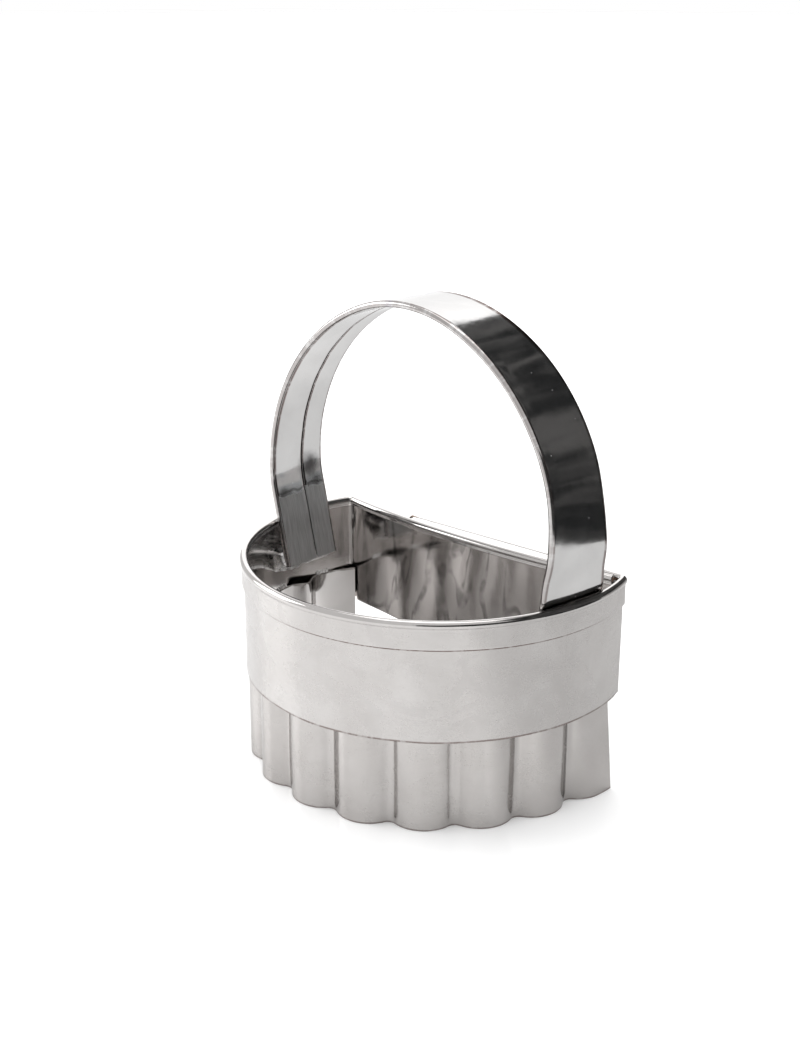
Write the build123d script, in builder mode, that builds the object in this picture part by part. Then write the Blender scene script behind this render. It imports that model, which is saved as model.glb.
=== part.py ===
"""Half-round fluted pastry cutter with a bail-shaped strap handle, in tinned sheet steel.

Sizes are in millimetres. Z points up and the cutting edge lies on Z = 0. The round front
faces -Y and the straight back faces +Y. The origin is under the middle of the cutter.
"""
import os
from math import atan2, cos, degrees, hypot, radians, sin, sqrt

from build123d import *

os.makedirs("parts", exist_ok=True)

# Collar: a hemmed band bent to a D
COLLAR_RADIUS = 40.0          # outer face of the round front
BACK_SETBACK = 12.7           # from the centre of the round front to the back corners
BACK_BOW = 3.3                # how far the middle of the back leans into the cutter
CORNER_RADIUS = 1.4           # outer face of the two back corners
COLLAR_HEIGHT = 24.8
COLLAR_SHEET = 0.4
HEM_HEIGHT = 5.7              # leaf folded down on the outside, from the top of the rim
HEM_GAP = 0.05                # between the leaf and the wall
ROLL_PROUD = 0.3              # how far the rolled rim stands out past the leaf
NECK_RADIUS = 0.7             # middle of the sheet, where wall and leaf bend into the rolled rim

# Wire in the rolled rim
WIRE_DIAMETER = 0.95
WIRE_CLEARANCE = 0.02
WIRE_PROUD = 0.5              # how far the wire stands out of the roll at the end of the lap

# Lap of the band, on the right part of the back
LAP_REACH = 56.3              # from the right corner to the outer layer's free end, along X
LAP_SEAT = 6.0                # from the end of the chord to where the outer rim first rests
LAP_CLEARANCE = 0.05          # between the two rims where they touch
INNER_END_CLEARANCE = 0.8     # from the centre of the right corner bend to the inner layer's end

# Fluted blade
BLADE_DROP = 18.9             # below the bottom edge of the collar
BLADE_LAP = 8.0               # overlap inside the collar
BLADE_SHEET = 0.4
BLADE_CLEARANCE = 0.02        # between a crest and the inside of the collar
FLUTE_PITCH = 19.2            # degrees about the centre of the round front
FLUTES_PER_SIDE = 5           # valleys on each side of the front crest
FLUTE_DEPTH = 2.4
VALLEY_RADIUS = 2.0           # middle of the sheet
LEFT_TAB_TURN = 11.0          # degrees that the last left crest bends on into the plain left tab
LEFT_TAB_GAP = 0.3            # from the end of the left tab to the back wall
RIGHT_TAB = 6.0               # degrees of plain sheet past the last crest
FLARE_ANGLE = 10.0            # outward lean of the right tab at the cutting edge, in degrees

# Strap handle
STRAP_WIDTH = 15.2
STRAP_THICKNESS = 1.4
STRAP_SHEET = 0.4
SLIT_WIDTH = 0.35
SLIT_OFFSET = 1.2             # from the middle of the strap towards the back
STRAP_SETBACK = -3.5          # middle of the strap, from the centre of the round front
ARCH_RISE = 41.2              # from the widest place to the crown
ARCH_BASE = 10.8              # height of the widest place above the rim
CROWN_TURN = 21.0             # degrees of the crown on each side of its top
SHOULDER_RADIUS = 18.0        # below the widest place
TUCK_ANGLE = 13.0             # degrees that the straight legs lean in below the shoulders
FOOT_DEPTH = 10.2             # from the top of the rim down to the end of a foot
RIM_CLEARANCE = 0.12          # between the front edge of a leg and the rolled rim, along X

# Solder
SOLDER_RISE = 3.6             # height of the pad behind a foot
SOLDER_DROP = 2.2             # how far the pad runs down the collar below a foot
SOLDER_SPREAD = 0.7           # how far the pad shows on each side of a foot
BEAD_HEIGHT = 0.8             # fillets on top of the blade
BEAD_SPAN = 5.0               # degrees of each fillet
LAP_FILL_DEPTH = 2.4          # solder between the two rims of the lap
LAP_FILL_SINK = 0.5           # from the top of the rim down to that solder
LAP_FILL_LEAST = 0.35         # it stops where the gap is narrower than this
LAP_TACK_LENGTH = 3.0         # solder between the layers at the lap's free end
LAP_TACK_HEIGHT = 12.0

# Heights
COLLAR_BOTTOM = BLADE_DROP
RIM_TOP = COLLAR_BOTTOM + COLLAR_HEIGHT
BLADE_TOP = COLLAR_BOTTOM + BLADE_LAP

# Rolled rim, measured outward from the outer face of the collar wall
ROLL_INNER_RADIUS = WIRE_DIAMETER / 2 + WIRE_CLEARANCE
ROLL_OUTER_RADIUS = ROLL_INNER_RADIUS + COLLAR_SHEET
ROLL_MIDDLE_RADIUS = ROLL_INNER_RADIUS + COLLAR_SHEET / 2
HEM_PROUD = HEM_GAP + COLLAR_SHEET
RIM_PROUD = HEM_PROUD + ROLL_PROUD
ROLL_OFFSET = RIM_PROUD - ROLL_OUTER_RADIUS
ROLL_INSET = ROLL_OUTER_RADIUS - ROLL_OFFSET
ROLL_HEIGHT = RIM_TOP - ROLL_OUTER_RADIUS
LAP_OFFSET = RIM_PROUD + LAP_CLEARANCE + ROLL_INSET

# Plan of the cutter
CENTRE_Y = (COLLAR_RADIUS - BACK_SETBACK - LAP_OFFSET) / 2
CENTRE = Vector(0, CENTRE_Y)
HALF_CHORD = sqrt(COLLAR_RADIUS**2 - BACK_SETBACK**2)
BOW_RADIUS = (HALF_CHORD**2 + BACK_BOW**2) / (2 * BACK_BOW)
BOW_CENTRE = Vector(0, CENTRE_Y + BACK_SETBACK - BACK_BOW + BOW_RADIUS)


def heading(vector):
    """Angle of a plan vector in degrees, from the X axis."""
    return degrees(atan2(vector.Y, vector.X))


def polar(centre, radius, angle):
    """Point at an angle, in degrees, round a centre."""
    return Vector(centre.X + radius * cos(radians(angle)), centre.Y + radius * sin(radians(angle)))


def front(angle):
    """Angle from the X axis of a direction counted from the middle of the front."""
    return angle - 90


def circle_meeting(centre_a, radius_a, centre_b, radius_b, side):
    """Point where two circles cross, on the side of their centre line that side gives."""
    across = centre_b - centre_a
    gap = hypot(across.X, across.Y)
    along = (gap**2 + radius_a**2 - radius_b**2) / (2 * gap)
    height = side * sqrt(radius_a**2 - along**2)
    unit = across * (1 / gap)
    return centre_a + unit * along + Vector(-unit.Y, unit.X) * height


def bow_point(x, inset):
    """Point at x on the bowed back, inset behind the outer face of its wall."""
    radius = BOW_RADIUS - inset
    return Vector(x, BOW_CENTRE.Y - sqrt(radius**2 - x**2))


# Left corner: its bend touches the round front and the bowed back
LEFT_CORNER = circle_meeting(
    CENTRE, COLLAR_RADIUS - CORNER_RADIUS, BOW_CENTRE, BOW_RADIUS + CORNER_RADIUS, 1
)

# Outer layer of the lap: straight, and it rests on the rim of the inner layer at both ends
LAP_RIGHT = bow_point(HALF_CHORD - LAP_SEAT, LAP_OFFSET)
LAP_LEFT = bow_point(HALF_CHORD - LAP_REACH, LAP_OFFSET)
LAP_RUN = (LAP_LEFT - LAP_RIGHT).normalized()
LAP_OUTWARD = Vector(LAP_RUN.Y, -LAP_RUN.X)

# Right corner: its bend touches the round front and the straight outer layer
CORNER_LINE = LAP_RIGHT - LAP_OUTWARD * CORNER_RADIUS
CORNER_FOOT = CORNER_LINE + LAP_RUN * (CENTRE - CORNER_LINE).dot(LAP_RUN)
CORNER_HALF = sqrt((COLLAR_RADIUS - CORNER_RADIUS) ** 2 - (CORNER_FOOT - CENTRE).length ** 2)
RIGHT_CORNER = CORNER_FOOT - LAP_RUN * CORNER_HALF
INNER_END = bow_point(RIGHT_CORNER.X - INNER_END_CLEARANCE, 0)


def band_path(overrun):
    """Line of the outer face of the collar wall, from the inner end to the end of the lap."""
    start = heading(INNER_END - BOW_CENTRE)
    left = heading(LEFT_CORNER - BOW_CENTRE)
    left_back = heading(BOW_CENTRE - LEFT_CORNER)
    left_front = heading(LEFT_CORNER - CENTRE)
    right_front = heading(RIGHT_CORNER - CENTRE)
    right_back = heading(LAP_OUTWARD)
    with BuildLine() as path:
        CenterArc(BOW_CENTRE, BOW_RADIUS, start, left - start)
        CenterArc(LEFT_CORNER, CORNER_RADIUS, left_back, left_front - left_back)
        CenterArc(CENTRE, COLLAR_RADIUS, left_front, right_front + 360 - left_front)
        CenterArc(RIGHT_CORNER, CORNER_RADIUS, right_front, right_back - right_front)
        Line(RIGHT_CORNER + LAP_OUTWARD * CORNER_RADIUS, LAP_LEFT + LAP_RUN * overrun)
    return path.wires()[0]


# Section plane at the inner end: X points out of the cutter, Y points up
SECTION_OUTWARD = (BOW_CENTRE - INNER_END).normalized()
SECTION_PLANE = Plane(
    origin=INNER_END, x_dir=SECTION_OUTWARD, z_dir=Vector(SECTION_OUTWARD.Y, -SECTION_OUTWARD.X)
)


def neck(middle_x):
    """Centre and turn of the bend that leads a sheet whose neck bends round middle_x into the roll."""
    across = abs(ROLL_OFFSET - middle_x)
    drop = sqrt((NECK_RADIUS + ROLL_MIDDLE_RADIUS) ** 2 - across**2)
    return (middle_x, ROLL_HEIGHT - drop), degrees(atan2(drop, across))


# Collar band: wall, roll round the wire between two necks, and the leaf folded down outside
with BuildPart() as collar_band:
    with BuildSketch(SECTION_PLANE):
        wall_neck, wall_turn = neck(-COLLAR_SHEET / 2 - NECK_RADIUS)
        leaf_neck, leaf_turn = neck(HEM_GAP + COLLAR_SHEET / 2 + NECK_RADIUS)
        roll = (ROLL_OFFSET, ROLL_HEIGHT)
        roll_turn = 180 + wall_turn + leaf_turn
        wide = NECK_RADIUS + COLLAR_SHEET / 2
        tight = NECK_RADIUS - COLLAR_SHEET / 2
        leaf_bottom_inside = (HEM_GAP, RIM_TOP - HEM_HEIGHT)
        leaf_bottom_outside = (HEM_PROUD, RIM_TOP - HEM_HEIGHT)
        with BuildLine():
            wall_outside = CenterArc(wall_neck, wide, 0, wall_turn)
            CenterArc(roll, ROLL_INNER_RADIUS, 180 + wall_turn, -roll_turn)
            leaf_inside = CenterArc(leaf_neck, wide, 180 - leaf_turn, leaf_turn)
            Line(leaf_inside @ 1, leaf_bottom_inside)
            Line(leaf_bottom_inside, leaf_bottom_outside)
            leaf_outside = CenterArc(leaf_neck, tight, 180, -leaf_turn)
            Line(leaf_bottom_outside, leaf_outside @ 0)
            CenterArc(roll, ROLL_OUTER_RADIUS, -leaf_turn, roll_turn)
            wall_inside = CenterArc(wall_neck, tight, wall_turn, -wall_turn)
            Line(wall_inside @ 1, (-COLLAR_SHEET, COLLAR_BOTTOM))
            Line((-COLLAR_SHEET, COLLAR_BOTTOM), (0, COLLAR_BOTTOM))
            Line((0, COLLAR_BOTTOM), wall_outside @ 0)
        make_face()
    sweep(path=band_path(0))
collar_band.part.label = "collar_band"

# Rim wire
with BuildPart() as rim_wire:
    with BuildSketch(SECTION_PLANE):
        with Locations((ROLL_OFFSET, ROLL_HEIGHT)):
            Circle(WIRE_DIAMETER / 2)
    sweep(path=band_path(WIRE_PROUD))
rim_wire.part.label = "rim_wire"

# Flutes: broad crests that touch the collar, and tighter valleys between them
CREST_REACH = COLLAR_RADIUS - COLLAR_SHEET - BLADE_CLEARANCE - BLADE_SHEET / 2
VALLEY_REACH = CREST_REACH - FLUTE_DEPTH + VALLEY_RADIUS
HALF_PITCH = FLUTE_PITCH / 2
VALLEY_ALONG = VALLEY_REACH * cos(radians(HALF_PITCH))
CREST_RADIUS = (
    CREST_REACH**2 + VALLEY_REACH**2 - 2 * CREST_REACH * VALLEY_ALONG - VALLEY_RADIUS**2
) / (2 * (CREST_REACH + VALLEY_RADIUS - VALLEY_ALONG))
VALLEY_ACROSS = VALLEY_REACH * sin(radians(HALF_PITCH))
CREST_TURN = degrees(atan2(VALLEY_ACROSS, VALLEY_ALONG - CREST_REACH + CREST_RADIUS))
VALLEY_TURN = CREST_TURN - HALF_PITCH
LAST_CREST = FLUTES_PER_SIDE * FLUTE_PITCH
LAST_VALLEY = LAST_CREST - HALF_PITCH


def crest_arc(angle, start, end):
    """Crest at an angle from the front, between two angles counted from its own top."""
    centre = polar(CENTRE, CREST_REACH - CREST_RADIUS, front(angle))
    return centre, CREST_RADIUS, front(angle) + start, end - start


def valley_arc(angle, start, end):
    """Valley at an angle from the front, travelled in the same sense as the crests."""
    centre = polar(CENTRE, VALLEY_REACH, front(angle))
    return centre, VALLEY_RADIUS, front(angle) + 180 - start, start - end


def left_tab_arc():
    """Plain sheet that leads on from the last left crest, up to the back wall."""
    crest_centre, crest_radius, joint, _ = crest_arc(-LAST_CREST, -LEFT_TAB_TURN, 0)
    centre = polar(crest_centre, crest_radius - CREST_REACH, joint)
    back_face = BOW_RADIUS + COLLAR_SHEET + LEFT_TAB_GAP
    end = circle_meeting(centre, CREST_REACH, BOW_CENTRE, back_face, 1)
    start = heading(end - centre) - 360
    return centre, CREST_REACH, start, joint - start


def right_tab_arc():
    """Plain sheet that follows the inside of the collar past the last right crest."""
    return CENTRE, CREST_REACH, front(LAST_CREST), RIGHT_TAB


def strip_face(arcs):
    """Outline of a strip of the blade's sheet that follows joined arcs."""
    half = BLADE_SHEET / 2
    for centre, radius, start, turn in arcs:
        bulge = half if turn > 0 else -half
        CenterArc(centre, radius + bulge, start, turn)
        CenterArc(centre, radius - bulge, start, turn)
    first = arcs[0]
    last = arcs[-1]
    for centre, radius, angle in (first[:3], (last[0], last[1], last[2] + last[3])):
        Line(polar(centre, radius - half, angle), polar(centre, radius + half, angle))


def main_run():
    """Arcs from the left end of the blade to the middle of the last valley on the right."""
    arcs = [left_tab_arc(), crest_arc(-LAST_CREST, -LEFT_TAB_TURN, CREST_TURN)]
    for index in range(-FLUTES_PER_SIDE + 1, FLUTES_PER_SIDE):
        angle = index * FLUTE_PITCH
        arcs.append(valley_arc(angle - HALF_PITCH, -VALLEY_TURN, VALLEY_TURN))
        arcs.append(crest_arc(angle, -CREST_TURN, CREST_TURN))
    arcs.append(valley_arc(LAST_VALLEY, -VALLEY_TURN, 0))
    return arcs


def right_run(lean):
    """Arcs from the middle of the last valley to the right end, swung out by a lean."""
    pivot = polar(CENTRE, VALLEY_REACH, front(LAST_VALLEY))
    swung = []
    for centre, radius, start, turn in (
        crest_arc(LAST_CREST, -CREST_TURN, 0),
        right_tab_arc(),
    ):
        arm = centre - pivot
        swung.append((polar(pivot, arm.length, heading(arm) - lean), radius, start - lean, turn))
    return [valley_arc(LAST_VALLEY, 0, VALLEY_TURN + lean)] + swung


# Fluted blade
with BuildPart() as fluted_blade:
    with BuildSketch():
        with BuildLine():
            strip_face(main_run())
        make_face()
    extrude(amount=BLADE_TOP)
    with BuildSketch(Plane.XY.offset(COLLAR_BOTTOM)):
        with BuildLine():
            strip_face(right_run(0))
        make_face()
    extrude(amount=BLADE_LAP)
    with BuildSketch():
        with BuildLine():
            strip_face(right_run(FLARE_ANGLE))
        make_face()
    with BuildSketch(Plane.XY.offset(COLLAR_BOTTOM)):
        with BuildLine():
            strip_face(right_run(0))
        make_face()
    loft(ruled=True)
fluted_blade.part.label = "fluted_blade"

# Arch of the handle, worked out from the rim up: straight legs that pass inside the rolled rim,
# shoulders that turn them up to the widest place, their upper part, and the crown
STRAP_Y = CENTRE_Y + STRAP_SETBACK
ARCH_PLANE = Plane.XZ.offset(-STRAP_Y)
WALL_RADIUS = COLLAR_RADIUS - COLLAR_SHEET
BASE_HEIGHT = RIM_TOP + ARCH_BASE
FOOT_HEIGHT = RIM_TOP - FOOT_DEPTH
LEG_ACROSS = cos(radians(TUCK_ANGLE))
LEG_ALONG = sin(radians(TUCK_ANGLE))
LEG_SLOPE = LEG_ALONG / LEG_ACROSS
STRAP_EDGE = abs(STRAP_SETBACK) + STRAP_WIDTH / 2
RIM_PASS_X = sqrt((COLLAR_RADIUS - ROLL_INSET) ** 2 - STRAP_EDGE**2) - RIM_CLEARANCE
LEG_PASS_X = RIM_PASS_X - STRAP_THICKNESS / 2 / LEG_ACROSS
LEG_TOP = BASE_HEIGHT - SHOULDER_RADIUS * LEG_ALONG


def leg_x(height):
    """Middle of the right leg at a height."""
    return LEG_PASS_X + (height - ROLL_HEIGHT) * LEG_SLOPE


SHOULDER_X = leg_x(LEG_TOP) - SHOULDER_RADIUS * LEG_ACROSS
ARCH_HALF_SPAN = SHOULDER_X + SHOULDER_RADIUS
CROWN_ACROSS = sin(radians(CROWN_TURN))
CROWN_ALONG = cos(radians(CROWN_TURN))
CROWN_STEP = (ARCH_RISE - ARCH_HALF_SPAN) / (CROWN_ACROSS + CROWN_ALONG - 1)
CROWN_RADIUS = ARCH_RISE - CROWN_STEP * CROWN_ALONG
UPPER_RADIUS = CROWN_RADIUS + CROWN_STEP
UPPER_X = ARCH_HALF_SPAN - UPPER_RADIUS
UPPER_TURN = 90 - CROWN_TURN

with BuildLine(ARCH_PLANE) as arch_path:
    Line((-leg_x(FOOT_HEIGHT), FOOT_HEIGHT), (-leg_x(LEG_TOP), LEG_TOP))
    CenterArc((-SHOULDER_X, BASE_HEIGHT), SHOULDER_RADIUS, 180 + TUCK_ANGLE, -TUCK_ANGLE)
    CenterArc((-UPPER_X, BASE_HEIGHT), UPPER_RADIUS, 180, -UPPER_TURN)
    CenterArc(
        (0, BASE_HEIGHT + ARCH_RISE - CROWN_RADIUS), CROWN_RADIUS, 90 + CROWN_TURN, -2 * CROWN_TURN
    )
    CenterArc((UPPER_X, BASE_HEIGHT), UPPER_RADIUS, UPPER_TURN, -UPPER_TURN)
    CenterArc((SHOULDER_X, BASE_HEIGHT), SHOULDER_RADIUS, 0, -TUCK_ANGLE)
    Line((leg_x(LEG_TOP), LEG_TOP), (leg_x(FOOT_HEIGHT), FOOT_HEIGHT))

# Section plane at the left foot: X points to the back, Y points out of the arch
STRAP_PLANE = Plane(
    origin=(-leg_x(FOOT_HEIGHT), STRAP_Y, FOOT_HEIGHT),
    x_dir=(0, 1, 0),
    z_dir=(-LEG_ALONG, 0, LEG_ACROSS),
)


def strap_outline():
    """Outer outline of the folded strip, in its section plane."""
    SlotOverall(STRAP_WIDTH, STRAP_THICKNESS)


# Strap: one plate with both long edges folded in towards a slit
with BuildPart() as handle_strap:
    with BuildSketch(STRAP_PLANE):
        strap_outline()
        SlotOverall(
            STRAP_WIDTH - 2 * STRAP_SHEET, STRAP_THICKNESS - 2 * STRAP_SHEET, mode=Mode.SUBTRACT
        )
        with Locations((SLIT_OFFSET, -STRAP_THICKNESS / 2)):
            Rectangle(SLIT_WIDTH, STRAP_THICKNESS, mode=Mode.SUBTRACT)
    sweep(path=arch_path.wires()[0])
handle_strap.part.label = "handle_strap"

# Space that the strap takes up, for the solder to stop at
with BuildPart() as strap_space:
    with BuildSketch(STRAP_PLANE):
        strap_outline()
    sweep(path=arch_path.wires()[0])

# Solder of the right foot: a pad between strap and wall, and a slope below the foot
PAD_TOP = FOOT_HEIGHT + SOLDER_RISE
FOOT_INNER_X = leg_x(FOOT_HEIGHT) - STRAP_THICKNESS / 2 * LEG_ACROSS
FOOT_INNER_HEIGHT = FOOT_HEIGHT + STRAP_THICKNESS / 2 * LEG_ALONG
with BuildPart() as handle_solder_right:
    with BuildSketch(ARCH_PLANE):
        with BuildLine():
            Polyline(
                (leg_x(PAD_TOP), PAD_TOP),
                (FOOT_INNER_X, FOOT_INNER_HEIGHT),
                (COLLAR_RADIUS, FOOT_HEIGHT - SOLDER_DROP),
                (COLLAR_RADIUS, PAD_TOP),
                close=True,
            )
        make_face()
    extrude(amount=STRAP_WIDTH / 2 + SOLDER_SPREAD, both=True)
    with Locations((0, CENTRE_Y, 0)):
        Cylinder(
            WALL_RADIUS,
            RIM_TOP,
            align=(Align.CENTER, Align.CENTER, Align.MIN),
            mode=Mode.INTERSECT,
        )
    add(strap_space.part, mode=Mode.SUBTRACT)
handle_solder_right.part.label = "handle_solder_right"

# Solder of the left foot
with BuildPart() as handle_solder_left:
    mirror(handle_solder_right.part, about=Plane.YZ)
handle_solder_left.part.label = "handle_solder_left"

# Solder beads on top of the blade, one where each crest touches the wall
with BuildPart() as blade_solder:
    for crest in range(-FLUTES_PER_SIDE, FLUTES_PER_SIDE + 1):
        bead_start = radians(front(crest * FLUTE_PITCH - BEAD_SPAN / 2))
        with BuildSketch(
            Plane(
                origin=(0, CENTRE_Y, 0),
                x_dir=(cos(bead_start), sin(bead_start), 0),
                z_dir=(sin(bead_start), -cos(bead_start), 0),
            )
        ):
            with BuildLine():
                Polyline(
                    (CREST_REACH - BLADE_SHEET / 2, BLADE_TOP),
                    (WALL_RADIUS, BLADE_TOP),
                    (WALL_RADIUS, BLADE_TOP + BEAD_HEIGHT),
                    close=True,
                )
            make_face()
        revolve(axis=Axis((0, CENTRE_Y, 0), (0, 0, 1)), revolution_arc=BEAD_SPAN)
blade_solder.part.label = "blade_solder"

# Solder of the lap: a lens between the two rims, and a tack between the layers at the free end
FILL_RADIUS = BOW_RADIUS - RIM_PROUD
FILL_DISTANCE = (BOW_CENTRE - LAP_RIGHT).dot(LAP_OUTWARD) + ROLL_INSET
FILL_EDGE = FILL_DISTANCE + LAP_FILL_LEAST
FILL_HALF = sqrt(FILL_RADIUS**2 - FILL_EDGE**2)
FILL_TURN = degrees(atan2(FILL_HALF, FILL_EDGE))
FILL_FOOT = BOW_CENTRE - LAP_OUTWARD * FILL_DISTANCE
TACK_LINE = LAP_LEFT - LAP_OUTWARD * COLLAR_SHEET
TACK_FAR = TACK_LINE - LAP_RUN * LAP_TACK_LENGTH
with BuildPart() as lap_solder:
    with BuildSketch(Plane.XY.offset(RIM_TOP - LAP_FILL_SINK - LAP_FILL_DEPTH)):
        with BuildLine():
            fill_arc = CenterArc(
                BOW_CENTRE, FILL_RADIUS, heading(LAP_OUTWARD * -1) - FILL_TURN, 2 * FILL_TURN
            )
            Polyline(
                fill_arc @ 1,
                FILL_FOOT - LAP_RUN * FILL_HALF,
                FILL_FOOT + LAP_RUN * FILL_HALF,
                fill_arc @ 0,
            )
        make_face()
    extrude(amount=LAP_FILL_DEPTH)
    with BuildSketch(Plane.XY.offset(COLLAR_BOTTOM)):
        with BuildLine():
            tack_start = heading(bow_point(TACK_LINE.X, 0) - BOW_CENTRE)
            tack_end = heading(bow_point(TACK_FAR.X, 0) - BOW_CENTRE)
            tack_arc = CenterArc(BOW_CENTRE, BOW_RADIUS, tack_start, tack_end - tack_start)
            Polyline(tack_arc @ 1, TACK_FAR, TACK_LINE, tack_arc @ 0)
        make_face()
    extrude(amount=LAP_TACK_HEIGHT)
lap_solder.part.label = "lap_solder"

for piece in (
    collar_band,
    rim_wire,
    fluted_blade,
    handle_strap,
    handle_solder_left,
    handle_solder_right,
    blade_solder,
    lap_solder,
):
    export_step(piece.part, f"parts/{piece.part.label}.step")
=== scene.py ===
"""Looks of the fluted pastry cutter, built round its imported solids.

Lengths are in millimetres until a mesh or a light is made, and angles are in degrees.
Points in plan, and points in the plane of the handle, are complex numbers.
"""

from math import atan2, cos, degrees, pi, radians, sin, sqrt

import bpy
import numpy as np
from mathutils import Matrix, Vector


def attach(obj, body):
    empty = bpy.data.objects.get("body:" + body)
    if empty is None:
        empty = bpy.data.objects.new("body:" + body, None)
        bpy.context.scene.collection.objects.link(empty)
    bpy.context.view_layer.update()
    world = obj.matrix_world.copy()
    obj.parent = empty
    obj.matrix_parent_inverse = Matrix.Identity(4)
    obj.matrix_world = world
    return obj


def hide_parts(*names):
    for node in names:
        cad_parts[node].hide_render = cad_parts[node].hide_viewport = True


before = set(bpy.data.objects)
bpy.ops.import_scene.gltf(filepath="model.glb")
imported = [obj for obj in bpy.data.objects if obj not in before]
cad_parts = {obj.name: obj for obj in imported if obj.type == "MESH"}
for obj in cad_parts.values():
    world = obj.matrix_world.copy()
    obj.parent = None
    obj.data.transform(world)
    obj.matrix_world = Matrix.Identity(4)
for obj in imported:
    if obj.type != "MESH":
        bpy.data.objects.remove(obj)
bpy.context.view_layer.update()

MM = 0.001

# Collar of the cutter
COLLAR_RADIUS = 40.0
BACK_SETBACK = 12.7
BACK_BOW = 3.3
CORNER_RADIUS = 1.4
COLLAR_BOTTOM = 18.9
RIM_TOP = 43.7
SHEET = 0.4
EDGE_ROUND = 0.09
HEM_HEIGHT = 5.7
HEM_GAP = 0.05
ROLL_PROUD = 0.3
NECK_RADIUS = 0.7
WIRE_DIAMETER = 0.95
WIRE_CLEARANCE = 0.02
LAP_REACH = 56.3
LAP_SEAT = 6.0
LAP_CLEARANCE = 0.05
INNER_END_CLEARANCE = 0.8

# Fluted blade
BLADE_TOP = 26.9
BLADE_CLEARANCE = 0.02
FLUTE_PITCH = 19.2
FLUTES_PER_SIDE = 5
FLUTE_DEPTH = 2.4
VALLEY_RADIUS = 2.0
LEFT_TAB_TURN = 11.0
LEFT_TAB_GAP = 0.3
RIGHT_TAB = 6.0
FLARE_ANGLE = 10.0

# Strap handle
STRAP_WIDTH = 15.2
STRAP_THICKNESS = 1.4
SLIT_WIDTH = 0.35
SLIT_OFFSET = 1.2
STRAP_SETBACK = -3.5
ARCH_RISE = 41.2
ARCH_BASE = 10.8
CROWN_TURN = 21.0
SHOULDER_RADIUS = 18.0
TUCK_ANGLE = 13.0
FOOT_DEPTH = 10.2
RIM_CLEARANCE = 0.12

# Plan of the collar
ROLL_INNER = WIRE_DIAMETER / 2 + WIRE_CLEARANCE
ROLL_OUTER = ROLL_INNER + SHEET
HEM_PROUD = HEM_GAP + SHEET
RIM_PROUD = HEM_PROUD + ROLL_PROUD
ROLL_OFFSET = RIM_PROUD - ROLL_OUTER
ROLL_HEIGHT = RIM_TOP - ROLL_OUTER
LAP_OFFSET = RIM_PROUD + LAP_CLEARANCE + ROLL_OUTER - ROLL_OFFSET
CENTRE = 0.5j * (COLLAR_RADIUS - BACK_SETBACK - LAP_OFFSET)
HALF_CHORD = sqrt(COLLAR_RADIUS**2 - BACK_SETBACK**2)
BOW_RADIUS = (HALF_CHORD**2 + BACK_BOW**2) / (2 * BACK_BOW)
BOW_CENTRE = CENTRE + 1j * (BACK_SETBACK - BACK_BOW + BOW_RADIUS)
WALL_RADIUS = COLLAR_RADIUS - SHEET


def turned(angle):
    """Unit step in a direction."""
    return np.exp(1j * np.radians(angle))


def heading(step):
    """Direction of a step."""
    return degrees(atan2(step.imag, step.real))


def dot(a, b):
    """How far a reaches along the unit step b."""
    return (a * b.conjugate()).real


def circle_meeting(a, radius_a, b, radius_b):
    """Crossing of two circles, on the left of the way from a to b."""
    gap = abs(b - a)
    along = (gap**2 + radius_a**2 - radius_b**2) / (2 * gap)
    return a + (b - a) / gap * complex(along, sqrt(radius_a**2 - along**2))


def bow_point(x, inset):
    """Point at x on the bowed back, outside the wall by an inset."""
    return complex(x, BOW_CENTRE.imag - sqrt((BOW_RADIUS - inset) ** 2 - x**2))


LEFT_CORNER = circle_meeting(
    CENTRE, COLLAR_RADIUS - CORNER_RADIUS, BOW_CENTRE, BOW_RADIUS + CORNER_RADIUS
)
LAP_RIGHT = bow_point(HALF_CHORD - LAP_SEAT, LAP_OFFSET)
LAP_LEFT = bow_point(HALF_CHORD - LAP_REACH, LAP_OFFSET)
LAP_RUN = (LAP_LEFT - LAP_RIGHT) / abs(LAP_LEFT - LAP_RIGHT)
LAP_OUTWARD = LAP_RUN * -1j
CORNER_LINE = LAP_RIGHT - LAP_OUTWARD * CORNER_RADIUS
CORNER_FOOT = CORNER_LINE + LAP_RUN * dot(CENTRE - CORNER_LINE, LAP_RUN)
CORNER_HALF = sqrt((COLLAR_RADIUS - CORNER_RADIUS) ** 2 - abs(CORNER_FOOT - CENTRE) ** 2)
RIGHT_CORNER = CORNER_FOOT - LAP_RUN * CORNER_HALF
INNER_END = bow_point(RIGHT_CORNER.real - INNER_END_CLEARANCE, 0)


def arc(centre, radius, start, turn, step):
    """Points along an arc and its outward sides, where outward is to the right of travel."""
    count = max(2, round(abs(radians(turn)) * radius / step) + 1)
    angles = np.linspace(start, start + turn, count)
    return centre + radius * turned(angles), np.sign(turn) * turned(angles)


def line(a, b, step):
    """Points along a straight line and its outward sides."""
    count = max(2, round(abs(b - a) / step) + 1)
    side = (b - a) / abs(b - a) * -1j
    return np.linspace(a, b, count), np.full(count, side)


def joined(runs):
    """Joined runs as one: points, outward sides and the length so far."""
    points = np.concatenate([runs[0][0]] + [run[0][1:] for run in runs[1:]])
    sides = np.concatenate([runs[0][1]] + [run[1][1:] for run in runs[1:]])
    lengths = np.concatenate([[0], np.cumsum(np.abs(np.diff(points)))])
    return points, sides, lengths


def edge_round(centre, start):
    """Points round a corner of a sheet's cut edge, a quarter turn about a centre."""
    return arc(centre, EDGE_ROUND, start, 90, 0.05)[0]


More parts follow.
